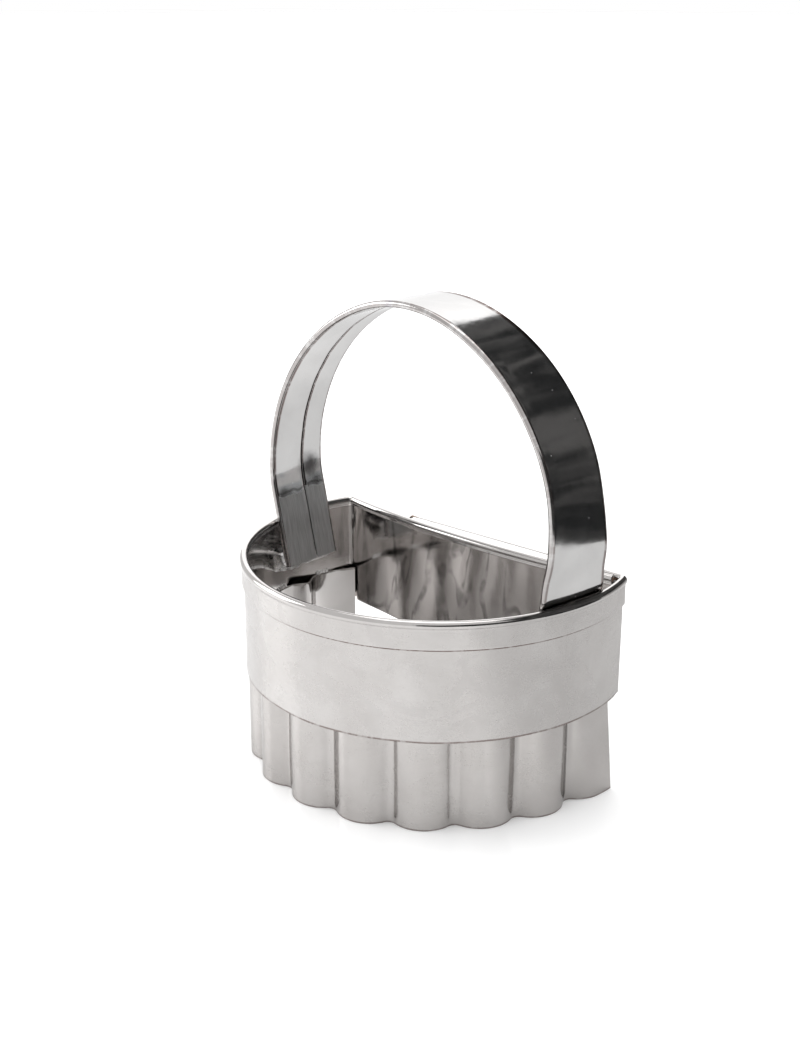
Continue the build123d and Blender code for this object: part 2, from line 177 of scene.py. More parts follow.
def ripples(seed, shortest, longest, count=9):
    """Smooth unevenness over a sheet, between about -1 and 1, as a function of two lengths."""
    random = np.random.default_rng(seed)
    waves = 2 * pi / random.uniform(shortest, longest, count)
    slants = random.uniform(0, pi, count)
    phases = random.uniform(0, 2 * pi, count)

    def field(along, across):
        total = 0
        for wave, slant, phase in zip(waves, slants, phases):
            total = total + np.sin(wave * (along * cos(slant) + across * sin(slant)) + phase)
        return total / sqrt(count)

    return field


def smooth(value, low, high):
    """0 below low and 1 above high, with a soft step between."""
    share = np.clip((value - low) / (high - low), 0, 1)
    return share * share * (3 - 2 * share)


def shown(name, data):
    """New object in the scene."""
    made = bpy.data.objects.new(name, data)
    bpy.context.scene.collection.objects.link(made)
    return made


SHARP_ANGLE = 50


def swept(name, grid, along, material):
    """Piece from closed rings of points: grid is rings x points x 3, along is each ring's length.

    Its map "sheet" holds the length along and the length round the section, in metres.
    """
    rings, size = grid.shape[:2]
    index = np.arange(rings * size).reshape(rings, size)
    after = np.roll(index, -1, axis=1)
    quads = np.stack([index[:-1], index[1:], after[1:], after[:-1]], axis=-1).reshape(-1, 4)
    faces = [list(map(int, quad)) for quad in quads]
    faces += [list(map(int, index[0])), list(map(int, index[-1][::-1]))]
    middle = grid[rings // 2]
    steps = np.linalg.norm(np.roll(middle, -1, axis=0) - middle, axis=1)
    across = np.concatenate([[0], np.cumsum(steps)])
    u = np.stack([along[:-1], along[1:], along[1:], along[:-1]], axis=-1)
    v = np.stack([across[:-1], across[:-1], across[1:], across[1:]], axis=-1)
    places = np.stack(
        [np.repeat(u[:, None], size, axis=1), np.repeat(v[None], rings - 1, axis=0)], axis=-1
    ).reshape(-1, 2)
    places = np.concatenate([places, np.zeros((2 * size, 2))])
    mesh = bpy.data.meshes.new(name)
    mesh.from_pydata((grid.reshape(-1, 3) * MM).tolist(), [], faces)
    sheet_map = mesh.uv_layers.new(name="sheet")
    sheet_map.uv.foreach_set("vector", (places * MM).astype(np.float32).ravel())
    mesh.polygons.foreach_set("use_smooth", [True] * len(mesh.polygons))
    mesh.set_sharp_from_angle(angle=radians(SHARP_ANGLE))
    mesh.validate()
    mesh.materials.append(material)
    return shown(name, mesh)


def fitted(piece, node):
    """Hands a piece over: it rides on the cutter's body and stands for a CAD node."""
    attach(piece, "root")
    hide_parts(node)


def grey(level, warm=0.0):
    """Grey of a linear level, a little warmer or cooler."""
    return (level * (1 + warm), level * (1 - warm / 4), level * (1 - warm), 1)


class Graph:
    """Short ways to add nodes to a material and to join them."""

    def __init__(self, name):
        self.material = bpy.data.materials.new(name)
        self.material.use_nodes = True
        self.tree = self.material.node_tree
        self.shader = self.tree.nodes["Principled BSDF"]

    def node(self, kind, inputs, **settings):
        """Adds a node, sets its settings and fills its inputs with values or outputs."""
        made = self.tree.nodes.new(kind)
        for key, value in settings.items():
            setattr(made, key, value)
        for key, value in inputs.items():
            self.put(made.inputs[key], value)
        return made

    def put(self, socket, value):
        """Fills a socket with a value or with another node's output."""
        if isinstance(value, bpy.types.NodeSocket):
            self.tree.links.new(value, socket)
        else:
            socket.default_value = value

    def surface(self, **inputs):
        """Fills inputs of the shader, whose names have _ in place of spaces."""
        for key, value in inputs.items():
            self.put(self.shader.inputs[key.replace("_", " ")], value)

    def place(self, stretch=(1, 1, 1)):
        """Place on the object in metres, stretched along its axes."""
        where = self.node("ShaderNodeTexCoord", {}).outputs["Object"]
        return self.node("ShaderNodeMapping", {"Vector": where, "Scale": stretch}).outputs[0]

    def sheet(self, stretch=(1, 1, 1)):
        """Place on the flat sheet before it was bent, in metres, stretched along and across."""
        where = self.node("ShaderNodeUVMap", {}, uv_map="sheet").outputs[0]
        return self.node("ShaderNodeMapping", {"Vector": where, "Scale": stretch}).outputs[0]

    def noise(self, vector, size, detail=3.0, rough=0.55, twist=0.0):
        """Noise from 0 to 1 whose lumps are about size millimetres wide."""
        inputs = {
            "Vector": vector,
            "Scale": 1 / (size * MM),
            "Detail": detail,
            "Roughness": rough,
            "Distortion": twist,
        }
        return self.node("ShaderNodeTexNoise", inputs).outputs["Fac"]

    def remap(self, value, low, high, to_low, to_high):
        """Soft step of a value from one range to another."""
        inputs = {
            "Value": value,
            "From Min": low,
            "From Max": high,
            "To Min": to_low,
            "To Max": to_high,
        }
        made = self.node("ShaderNodeMapRange", inputs, interpolation_type="SMOOTHSTEP")
        return made.outputs["Result"]

    def math(self, operation, a, b):
        """Sum, product or the like of two values."""
        return self.node("ShaderNodeMath", {0: a, 1: b}, operation=operation).outputs[0]

    def times(self, a, b):
        """Product of two values."""
        return self.math("MULTIPLY", a, b)

    def stretch(self, across, zone):
        """1 inside a zone, two lengths in millimetres. From a start above its end it wraps round."""
        low, high = min(zone), max(zone)
        fade = 0.3
        inner = self.times(
            self.remap(across, low * MM, (low + fade) * MM, 0, 1),
            self.remap(across, (high - fade) * MM, high * MM, 1, 0),
        )
        return inner if zone[0] < zone[1] else self.math("SUBTRACT", 1.0, inner)

    def around(self, value, middle, near, far, strength):
        """A strength near a middle value, and 0 further from it than far."""
        off = self.math("ABSOLUTE", self.math("SUBTRACT", value, middle), 0)
        return self.remap(off, near, far, strength, 0)

    def blend(self, share, a, b):
        """Mixes two colours."""
        made = self.node("ShaderNodeMix", {}, data_type="RGBA", blend_type="MIX")
        self.put(made.inputs["Factor"], share)
        self.put(made.inputs[6], a)
        self.put(made.inputs[7], b)
        return made.outputs[2]

    def bump(self, height, strength, depth, before=None):
        """Bump of a height from 0 to 1, depth millimetres deep."""
        inputs = {"Height": height, "Strength": strength, "Distance": depth * MM}
        if before is not None:
            inputs["Normal"] = before
        return self.node("ShaderNodeBump", inputs).outputs[0]


# Dirt and painted shade: darkens seams, folds and the gaps at hems and edges
SEAM_DIRT_AND_SHADE = (0.1, 0.06, 0.05, 1)
# Painted shade inside the folds of the strap
FOLD_PAINTED_SHADE = (0.012, 0.01, 0.01, 1)
RUST = (0.16, 0.09, 0.05, 1)
SOOT = (0.06, 0.058, 0.06, 1)
SCUFFED = (0.3, 0.29, 0.34, 1)


class Tinplate(Graph):
    """Rolled tinplate with soft blotches, rolling grain, smears, specks and shallow dents.

    A zone is two lengths round the section of the sheet, and a seam is one. Each mark covers
    what was laid on before it, and finish comes last.
    """

    def __init__(self, name, tone, warm, grain):
        super().__init__(name)
        self.warm = warm
        self.grain = grain
        self.spot = self.place()
        self.axes = self.node("ShaderNodeSeparateXYZ", {"Vector": self.spot}).outputs
        self.across = self.node("ShaderNodeSeparateXYZ", {"Vector": self.sheet()}).outputs["Y"]
        self.cloud = self.noise(self.spot, 3.2, 5, 0.65)
        self.fine = self.noise(self.spot, 0.22, 2, 0.7)
        self.lines = self.noise(self.sheet((0.045, 1, 1)), 0.16, 3, 0.7)
        gaps = self.noise(self.sheet((1, 0.3, 1)), 2.6, 4, 0.75)
        self.broken = self.remap(gaps, 0.36, 0.52, 0.4, 1)
        blotch = self.remap(self.noise(self.spot, 14, 4, 0.6, 0.4), 0.35, 0.68, 0, 1)
        self.colour = self.blend(blotch, grey(tone * 0.94, warm * 1.2), grey(tone * 1.04, warm))
        self.cover(self.remap(self.cloud, 0.3, 0.72, 0, 0.35), grey(tone * 0.93, warm * 1.3))
        self.cover(self.remap(self.fine, 0.25, 0.75, 0, 0.2), grey(tone * 0.76, warm))
        self.cover(self.remap(self.lines, 0.56, 0.74, 0, 0.14 * grain), grey(tone * 0.72, warm))
        self.cover(self.dots(5.5, (0.012, 0.03), 0, 0.8, 0.55), grey(0.16, 0.15))
        self.metal = 1.0
        self.dark_reflection_zone = None

    def cover(self, share, colour):
        """Lays a colour over what is there, by a share."""
        self.colour = self.blend(share, self.colour, colour)

    def dots(self, spacing, edge, channel, rarity, strength):
        """Round dots, in the rarer cells of a pattern that is spacing millimetres wide."""
        cells = self.node("ShaderNodeTexVoronoi", {"Vector": self.spot, "Scale": 1 / (spacing * MM)})
        chances = self.node("ShaderNodeSeparateColor", {"Color": cells.outputs["Color"]}).outputs
        inside = self.remap(cells.outputs["Distance"], *edge, 1, 0)
        return self.times(inside, self.remap(chances[channel], rarity, rarity + 0.02, 0, strength))

    def tint(self, zone, share, tone):
        """Another tone in a zone."""
        self.cover(self.times(self.stretch(self.across, zone), share), grey(tone, self.warm))

    def paint_reflection_lines(self, zone, strength):
        """Painted reflections: thin dark wavy lines in a zone, like reflections of a wavy sheet."""
        waves = self.noise(self.sheet((1, 0.3, 1)), 9.0, 2, 0.5, 0.8)
        mark = self.times(
            self.around(waves, 0.47, 0.006, 0.05, strength), self.stretch(self.across, zone)
        )
        patchy = self.remap(self.cloud, 0.35, 0.6, 0.2, 1)
        self.cover(self.times(mark, patchy), grey(0.12, 0.03))

    def seam(self, length, strength, reach, bottom=None):
        """Dirt and painted shade along a seam as far as a reach, and only above a bottom height if
        there is one.
        """
        dirt_and_shade = self.around(self.across, length * MM, 0.35 * reach * MM, reach * MM, strength)
        if bottom is not None:
            fade = 8
            risen = self.remap(self.axes["Z"], bottom * MM, (bottom + fade) * MM, 0, 1)
            dirt_and_shade = self.times(dirt_and_shade, risen)
        self.cover(self.times(dirt_and_shade, self.broken), SEAM_DIRT_AND_SHADE)

    def hollow(self, zone):
        """Painted shade: dark inside of a fold."""
        self.cover(self.stretch(self.across, zone), FOLD_PAINTED_SHADE)

    def smudge(self, centre, near, far, strength, colour):
        """Stain round a place, full as far as near and gone at far."""
        gap = self.node(
            "ShaderNodeVectorMath", {0: self.spot, 1: Vector(centre) * MM}, operation="DISTANCE"
        ).outputs["Value"]
        ragged = self.times(self.noise(self.spot, far / 2, 3, 0.6), far / 2 * MM)
        edge = self.math("ADD", gap, ragged)
        self.cover(self.remap(edge, near * MM, far * MM, strength, 0), colour)

    def scuff(self, middle, strength):
        """Worn mark across the sheet, at a place along X."""
        worn = self.remap(self.noise(self.place((1, 0.15, 1)), 0.5, 3, 0.7), 0.4, 0.6, 0, 1)
        bent = self.math("ADD", self.axes["X"], self.times(self.cloud, 2 * MM))
        mark = self.around(bent, middle * MM, 0.3 * MM, 1.6 * MM, strength)
        self.cover(self.times(mark, worn), SCUFFED)

    def paint_dark_reflection(self, height, zone):
        """Painted dark reflection: dull dark-grey streaks with a dark edge on a zone up to a height."""
        wander = self.times(self.noise(self.sheet((0.3, 1, 1)), 4.5, 1, 0.4), 4 * MM)
        up = self.math("ADD", self.axes["Z"], wander)
        flat = self.stretch(self.across, zone)
        self.dark_reflection_zone = self.times(flat, self.remap(up, height * MM, (height + 0.5) * MM, 1, 0))
        edge = self.around(up, (height + 1.0) * MM, 0.1 * MM, 0.4 * MM, 0.6)
        self.cover(self.times(flat, edge), grey(0.12, 0.05))
        streak = self.remap(self.noise(self.sheet((0.05, 1, 1)), 0.3, 3, 0.65), 0.3, 0.7, 0, 1)
        self.cover(self.dark_reflection_zone, self.blend(streak, grey(0.34, 0.01), grey(0.47, 0.005)))
        self.metal = self.math("SUBTRACT", self.metal, self.times(self.dark_reflection_zone, 0.22))

    def dust(self, strength):
        """Pale motes."""
        mote = self.dots(2.4, (0.03, 0.06), 1, 0.72, strength)
        self.cover(mote, grey(0.75))
        self.metal = self.math("SUBTRACT", self.metal, mote)

    def finish(self, rough, dull, dents, edge_tone, polished=None, factor=1.0):
        """Fills the shader. Roughness reaches rough + dull, times a factor in a polished zone."""
        smear = self.noise(self.spot, 9.0, 4, 0.62, 1.2)
        roughness = self.math(
            "ADD",
            self.remap(smear, 0.34, 0.7, rough, rough + dull),
            self.remap(self.lines, 0.45, 0.8, 0, 0.06 * self.grain),
        )
        roughness = self.math("ADD", roughness, self.remap(self.fine, 0.3, 0.8, 0, 0.04))
        if polished is not None:
            inside = self.stretch(self.across, polished)
            roughness = self.times(roughness, self.remap(inside, 0, 1, 1, factor))
        if self.dark_reflection_zone is not None:
            roughness = self.math("ADD", roughness, self.times(self.dark_reflection_zone, 0.3))
        normal = self.bump(self.noise(self.spot, 6.0, 2, 0.5), 1.0, 0.12 * dents)
        normal = self.bump(self.noise(self.spot, 1.8, 2, 0.5), 1.0, 0.012 * dents, normal)
        normal = self.bump(self.lines, 1.0, 0.0016 * self.grain, normal)
        normal = self.bump(self.fine, 1.0, 0.0012 * self.grain, normal)
        self.surface(
            Base_Color=self.colour,
            Metallic=self.metal,
            Roughness=roughness,
            Specular_Tint=grey(edge_tone),
            Normal=normal,
        )
        return self.material


# Zones and seams of the collar, as lengths round its section
WALL_START = 0.6
HEM_SEAM_DROP = 0.15
HEM_SEAM = RIM_TOP - HEM_HEIGHT - HEM_SEAM_DROP - COLLAR_BOTTOM - WALL_START
COLLAR_EDGE = 62.45
INNER_WALL = (38.2, 62.0)
ROLL_AND_WALL = (34.6, 62.0)


def collar_tin():
    """Satin outside, a brighter polished roll and inner wall, the inner wall also painted lighter as
    painted light and given painted reflection lines, dirt and painted shade along the hem line and the
    bottom edge, and a rusty spot where the wire ends.
    """
    tin = Tinplate("collar_tin", tone=0.495, warm=0.025, grain=1.0)
    # Painted light: the inner wall is painted lighter, standing in for light that fills the collar
    tin.tint(INNER_WALL, share=0.55, tone=0.92)
    # Painted reflections: wavy dark lines on the inner wall
    tin.paint_reflection_lines(INNER_WALL, strength=0.55)
    # Dirt and painted shade along the hem line and the bottom edge
    tin.seam(HEM_SEAM, strength=1.0, reach=0.34)
    tin.seam(COLLAR_EDGE, strength=0.7, reach=0.34)
    wire_end = (LAP_LEFT.real, LAP_LEFT.imag, ROLL_HEIGHT)
    tin.smudge(wire_end, near=1.5, far=3.1, strength=0.9, colour=RUST)
    return tin.finish(
        rough=0.2, dull=0.1, dents=0.35, edge_tone=0.85, polished=ROLL_AND_WALL, factor=0.42
    )


# Zone and seam of the blade, as lengths round its section
INNER_BLADE = (26.6, 53.5)
BLADE_EDGE = 54.05


def blade_tin():
    """Satin outside and a brighter inside."""
    tin = Tinplate("blade_tin", tone=0.465, warm=0.03, grain=1.1)
    tin.tint(INNER_BLADE, share=0.1, tone=0.7)
    # Dirt and painted shade along the bottom edge
    tin.seam(BLADE_EDGE, strength=0.6, reach=0.34)
    return tin.finish(
        rough=0.17, dull=0.09, dents=0.35, edge_tone=0.85, polished=INNER_BLADE, factor=0.45
    )


# Zones and seams of the strap, as lengths round its section
STRAP_INSIDE = (23.1, 4.5)
STRAP_HOLLOW = (30.95, 60.5)
BACK_FOLD = (4.8, 7.0, 7.2)
FRONT_FOLD = (20.9, 21.9, 23.0)
SLIT_LIPS = (30.8, 60.75)

# Marks on the strap, at heights and at places on the cutter
CROWN_SEAM_BOTTOM = 84
# Top of the painted dark reflection on the strap's inner face
DARK_REFLECTION_HEIGHT = 50.6
SMUDGE_PLACE = (-38.0, 12.6, 53.4)
SCUFF_X = -2.2


def strap_tin():
    """Bright strap with fold lines darkened by dirt and painted shade, painted shade in the fold
    hollow, a dull painted dark reflection low on its inner face, a smudge and a scuffed crown.
    """
    tin = Tinplate("strap_tin", tone=0.59, warm=0.008, grain=0.4)
    tin.tint(STRAP_INSIDE, share=0.15, tone=0.5)
    # Dirt and painted shade along the folds and the lips of the slit
    tin.seam(BACK_FOLD[0], strength=0.6, reach=0.35)
    tin.seam(BACK_FOLD[1], strength=0.7, reach=0.5)
    tin.seam(BACK_FOLD[2], strength=0.9, reach=1.0, bottom=CROWN_SEAM_BOTTOM)
    tin.seam(FRONT_FOLD[0], strength=0.6, reach=0.3)
    tin.seam(FRONT_FOLD[1], strength=0.42, reach=1.3)
    tin.seam(FRONT_FOLD[2], strength=0.75, reach=0.4)
    tin.seam(SLIT_LIPS[0], strength=0.85, reach=0.22)
    tin.seam(SLIT_LIPS[1], strength=0.85, reach=0.26)
    # Painted shade in the hollow of the folded strip
    tin.hollow(STRAP_HOLLOW)
    tin.smudge(SMUDGE_PLACE, near=2.2, far=5.8, strength=0.92, colour=SOOT)
    tin.scuff(SCUFF_X, strength=0.6)
    # Painted dark reflection of the cutter's inside, low on the strap's inner face
    tin.paint_dark_reflection(DARK_REFLECTION_HEIGHT, STRAP_INSIDE)
    tin.dust(strength=0.5)
    return tin.finish(rough=0.07, dull=0.05, dents=0.25, edge_tone=0.6)


def wire_steel():
    """Bare wire with a little rust."""
    graph = Graph("wire_steel")
    rust = graph.noise(graph.place(), 0.5, 4, 0.7)
    graph.surface(
        Base_Color=graph.blend(
            graph.remap(rust, 0.35, 0.65, 0, 1), (0.3, 0.2, 0.14, 1), (0.13, 0.07, 0.045, 1)
        ),
        Metallic=0.35,
        Roughness=graph.remap(rust, 0.3, 0.7, 0.4, 0.75),
        Normal=graph.bump(rust, 0.6, 0.05),
    )
    return graph.material


def solder_tin(name, tone):
    """Solder that set in the air: dull grey with bright and cloudy patches."""
    graph = Graph(name)
    place = graph.place()
    frost = graph.noise(place, 0.7, 5, 0.65, 0.5)
    lumps = graph.noise(place, 2.2, 3, 0.55, 0.3)
    colour = graph.blend(
        graph.remap(lumps, 0.35, 0.65, 0, 1), grey(tone * 0.8, 0.02), grey(tone, 0.005)
    )
    graph.surface(
        Base_Color=graph.blend(graph.remap(frost, 0.5, 0.72, 0, 0.5), colour, grey(tone * 0.6, 0.03)),
        Metallic=1.0,
        Roughness=graph.remap(frost, 0.3, 0.72, 0.16, 0.42),
        Normal=graph.bump(frost, 1.0, 0.04, graph.bump(lumps, 1.0, 0.25)),
    )
    return graph.material


solder = solder_tin("solder_tin", 0.66)
lap_solder = solder_tin("lap_solder_tin", 0.92)


def neck(middle_x):
    """Centre and turn of the bend, round a middle_x, that leads a sheet into the roll."""
    across = abs(ROLL_OFFSET - middle_x)
    drop = sqrt((NECK_RADIUS + ROLL_INNER + SHEET / 2) ** 2 - across**2)
    return complex(middle_x, ROLL_HEIGHT - drop), degrees(atan2(drop, across))


def rim_section():
    """Outline of the collar's hemmed wall: across it outward from its outer face, and upward."""
    wall_neck, wall_turn = neck(-SHEET / 2 - NECK_RADIUS)
    leaf_neck, leaf_turn = neck(HEM_GAP + SHEET / 2 + NECK_RADIUS)
    roll = complex(ROLL_OFFSET, ROLL_HEIGHT)
    roll_turn = 180 + wall_turn + leaf_turn
    wide, tight = NECK_RADIUS + SHEET / 2, NECK_RADIUS - SHEET / 2
    hem = RIM_TOP - HEM_HEIGHT
    hem_round = hem + EDGE_ROUND
    wall_round = COLLAR_BOTTOM + EDGE_ROUND
    below_neck = 0.3
    leaf_start = 0.5
    wall = np.linspace(COLLAR_BOTTOM + WALL_START, wall_neck.imag - below_neck, 14)
    leaf = np.linspace(hem + leaf_start, leaf_neck.imag - below_neck, 4)
    parts = [
        0 + 1j * wall,
        arc(wall_neck, wide, 0, wall_turn, 0.15)[0],
        arc(roll, ROLL_INNER, 180 + wall_turn, -roll_turn, 0.13)[0],
        arc(leaf_neck, wide, 180 - leaf_turn, leaf_turn, 0.15)[0],
        HEM_GAP + 1j * leaf[::-1],
        [complex(HEM_GAP, hem_round)],
        edge_round(complex(HEM_GAP + EDGE_ROUND, hem_round), 180),
        edge_round(complex(HEM_PROUD - EDGE_ROUND, hem_round), 270),
        HEM_PROUD + 1j * leaf,
        arc(leaf_neck, tight, 180, -leaf_turn, 0.12)[0],
        arc(roll, ROLL_OUTER, -leaf_turn, roll_turn, 0.13)[0],
        arc(wall_neck, tight, wall_turn, -wall_turn, 0.12)[0],
        -SHEET + 1j * wall[::-1],
        edge_round(complex(EDGE_ROUND - SHEET, wall_round), 180),
        edge_round(complex(-EDGE_ROUND, wall_round), 270),
    ]
    return np.concatenate(parts)


def band_path(step):
    """Outer face of the collar wall in plan, from the inner end to the free end of the lap."""
    start = heading(INNER_END - BOW_CENTRE)
    left = heading(LEFT_CORNER - BOW_CENTRE)
    left_back = heading(BOW_CENTRE - LEFT_CORNER)
    left_front = heading(LEFT_CORNER - CENTRE)
    right_front = heading(RIGHT_CORNER - CENTRE)
    right_back = heading(LAP_OUTWARD)
    fine = 0.25
    return joined(
        [
            arc(BOW_CENTRE, BOW_RADIUS, start, left - start, step),
            arc(LEFT_CORNER, CORNER_RADIUS, left_back, left_front - left_back, fine),
            arc(CENTRE, COLLAR_RADIUS, left_front, right_front + 360 - left_front, step),
            arc(RIGHT_CORNER, CORNER_RADIUS, right_front, right_back - right_front, fine),
            line(RIGHT_CORNER + LAP_OUTWARD * CORNER_RADIUS, LAP_LEFT, step),
        ]
    )


# Unevenness of the sheets: the collar and the blade share sheet_wave
sheet_wave = ripples(11, 16, 45)
back_wave = ripples(23, 9, 26)
edge_wave = ripples(5, 12, 40)
FRONT_WAVE = 0.05
BACK_WAVE = 0.1
BACK_WAVE_SQUEEZE = 0.4
EDGE_WAVE = 0.07
EDGE_WAVE_TOP = COLLAR_BOTTOM + 5
RIM_STIFF = (RIM_TOP - 7, RIM_TOP - 2)
BLADE_WAVE = 0.06
BLADE_WAVE_START = 31
BLADE_STIFF = (14, 24)


def band_shift(points, lengths, height):
    """How far the collar's sheet stands out of its true place, in millimetres."""
    back = smooth(points.imag, LEFT_CORNER.imag - 1, LEFT_CORNER.imag + 1)[:, None]
    free = 1 - smooth(height, *RIM_STIFF)[None]
    wide = sheet_wave(lengths[:, None], height[None])
    narrow = back_wave(lengths[:, None], height[None] * BACK_WAVE_SQUEEZE)
    return free * (FRONT_WAVE * wide * (1 - back) + BACK_WAVE * narrow * back)


def make_collar():
    """Collar band with its rolled rim, its hem and its lap."""
    points, sides, lengths = band_path(0.9)
    section = rim_section()
    shift = band_shift(points, lengths, section.imag)
    plan = points[:, None] + sides[:, None] * (section.real[None] + shift)
    height = np.repeat(section.imag[None], len(points), axis=0)
    low = 1 - smooth(height, COLLAR_BOTTOM, EDGE_WAVE_TOP)
    height = height + low * EDGE_WAVE * edge_wave(lengths, 0)[:, None]
    grid = np.stack([plan.real, plan.imag, height], axis=-1)
    return swept("collar_band_shown", grid, lengths, collar_tin())


fitted(make_collar(), "collar_band")

# Flutes
CREST_REACH = WALL_RADIUS - BLADE_CLEARANCE - SHEET / 2
VALLEY_REACH = CREST_REACH - FLUTE_DEPTH + VALLEY_RADIUS
HALF_PITCH = FLUTE_PITCH / 2
VALLEY_ALONG = VALLEY_REACH * cos(radians(HALF_PITCH))
CREST_RADIUS = (
    CREST_REACH**2 + VALLEY_REACH**2 - 2 * CREST_REACH * VALLEY_ALONG - VALLEY_RADIUS**2
) / (2 * (CREST_REACH + VALLEY_RADIUS - VALLEY_ALONG))
CREST_TURN = degrees(
    atan2(VALLEY_REACH * sin(radians(HALF_PITCH)), VALLEY_ALONG - CREST_REACH + CREST_RADIUS)
)
VALLEY_TURN = CREST_TURN - HALF_PITCH
LAST_CREST = FLUTES_PER_SIDE * FLUTE_PITCH
LAST_VALLEY = LAST_CREST - HALF_PITCH
FLARE_FADE = 8
BLADE_STEP = 0.35


def crest(angle, start, end):
    """Crest at an angle from the front, between two angles from its own top."""
    centre = CENTRE + (CREST_REACH - CREST_RADIUS) * turned(angle - 90)
    return arc(centre, CREST_RADIUS, angle - 90 + start, end - start, BLADE_STEP)


def valley(angle, start, end):
    """Valley at an angle from the front, travelled in the same sense as the crests."""
    centre = CENTRE + VALLEY_REACH * turned(angle - 90)
    return arc(centre, VALLEY_RADIUS, angle + 90 - start, start - end, BLADE_STEP)


def left_tab():
    """Plain sheet that leads on from the last left crest, up to the back wall."""
    joint = -LAST_CREST - 90 - LEFT_TAB_TURN
    crest_centre = CENTRE + (CREST_REACH - CREST_RADIUS) * turned(-LAST_CREST - 90)
    centre = crest_centre + (CREST_RADIUS - CREST_REACH) * turned(joint)
    back_face = BOW_RADIUS + SHEET + LEFT_TAB_GAP
    end = circle_meeting(centre, CREST_REACH, BOW_CENTRE, back_face)
    start = heading(end - centre) - 360
    return arc(centre, CREST_REACH, start, joint - start, BLADE_STEP)


def right_tab():
    """Plain sheet that follows the inside of the collar past the last right crest."""
    return arc(CENTRE, CREST_REACH, LAST_CREST - 90, RIGHT_TAB, BLADE_STEP)


def blade_path(lean):
    """Middle of the blade's sheet, with its right end swung out by a lean."""
    runs = [left_tab(), crest(-LAST_CREST, -LEFT_TAB_TURN, CREST_TURN)]
    for index in range(-FLUTES_PER_SIDE + 1, FLUTES_PER_SIDE):
        angle = index * FLUTE_PITCH
        runs.append(valley(angle - HALF_PITCH, -VALLEY_TURN, VALLEY_TURN))
        runs.append(crest(angle, -CREST_TURN, CREST_TURN))
    runs.append(valley(LAST_VALLEY, -VALLEY_TURN, 0))
    pivot = CENTRE + VALLEY_REACH * turned(LAST_VALLEY - 90)
    end = [
        valley(LAST_VALLEY, 0, VALLEY_TURN),
        crest(LAST_CREST, -CREST_TURN, 0),
        right_tab(),
    ]
    for run_points, run_sides in end:
        away = np.angle((run_points - pivot) / turned(LAST_VALLEY + 90), deg=True)
        share = smooth(np.abs(away), 0, VALLEY_TURN + FLARE_FADE)
        swing = turned(-lean * share)
        runs.append((pivot + (run_points - pivot) * swing, run_sides * swing))
    return joined(runs)


def blade_section():
    """Outline of the blade's sheet: across it outward from its middle, and upward."""
    half = SHEET / 2
    side = half - EDGE_ROUND
    margin = 0.5
    levels = np.linspace(margin, BLADE_TOP - margin, 16)
    parts = [
        half + 1j * levels,
        edge_round(complex(side, BLADE_TOP - EDGE_ROUND), 0),
        edge_round(complex(-side, BLADE_TOP - EDGE_ROUND), 90),
        -half + 1j * levels[::-1],
        edge_round(complex(-side, EDGE_ROUND), 180),
        edge_round(complex(side, EDGE_ROUND), 270),
    ]
    return np.concatenate(parts)


def make_blade():
    """Fluted blade, whose right end leans out towards the cutting edge."""
    points, sides, lengths = blade_path(0)
    flared, flared_sides, _ = blade_path(FLARE_ANGLE)
    section = blade_section()
    share = 1 - np.clip(section.imag / COLLAR_BOTTOM, 0, 1)
    middle = points[:, None] + (flared - points)[:, None] * share[None]
    outward = sides[:, None] + (flared_sides - sides)[:, None] * share[None]
    free = 1 - smooth(section.imag, *BLADE_STIFF)[None]
    wave = sheet_wave(lengths[:, None] + BLADE_WAVE_START, section.imag[None])
    shift = BLADE_WAVE * free * wave
    plan = middle + outward * (section.real[None] + shift)
    height = np.repeat(section.imag[None], len(points), axis=0)
    grid = np.stack([plan.real, plan.imag, height], axis=-1)
    return swept("fluted_blade_shown", grid, lengths, blade_tin())


fitted(make_blade(), "fluted_blade")

# Arch of the handle, in its own plane: x + height j
BASE = RIM_TOP + ARCH_BASE
FOOT_HEIGHT = RIM_TOP - FOOT_DEPTH
STRAP_Y = CENTRE.imag + STRAP_SETBACK
LEG_ACROSS = cos(radians(TUCK_ANGLE))
LEG_ALONG = sin(radians(TUCK_ANGLE))
STRAP_EDGE = abs(STRAP_SETBACK) + STRAP_WIDTH / 2
RIM_INSIDE = COLLAR_RADIUS - ROLL_OUTER + ROLL_OFFSET
RIM_PASS_X = sqrt(RIM_INSIDE**2 - STRAP_EDGE**2) - RIM_CLEARANCE
LEG_TOP = BASE - SHOULDER_RADIUS * LEG_ALONG


def leg_place(height):
    """Middle of the right leg at a height."""
    pass_x = RIM_PASS_X - STRAP_THICKNESS / 2 / LEG_ACROSS
    return complex(pass_x + (height - ROLL_HEIGHT) * LEG_ALONG / LEG_ACROSS, height)


def mirrored(place):
    """Place on the left leg that matches one on the right leg."""
    return complex(-place.real, place.imag)


SHOULDER_X = leg_place(LEG_TOP).real - SHOULDER_RADIUS * LEG_ACROSS
HALF_SPAN = SHOULDER_X + SHOULDER_RADIUS
CROWN_ACROSS = sin(radians(CROWN_TURN))
CROWN_ALONG = cos(radians(CROWN_TURN))
CROWN_STEP = (ARCH_RISE - HALF_SPAN) / (CROWN_ACROSS + CROWN_ALONG - 1)
CROWN_RADIUS = ARCH_RISE - CROWN_STEP * CROWN_ALONG
UPPER_RADIUS = CROWN_RADIUS + CROWN_STEP
UPPER_X = HALF_SPAN - UPPER_RADIUS
UPPER_TURN = 90 - CROWN_TURN


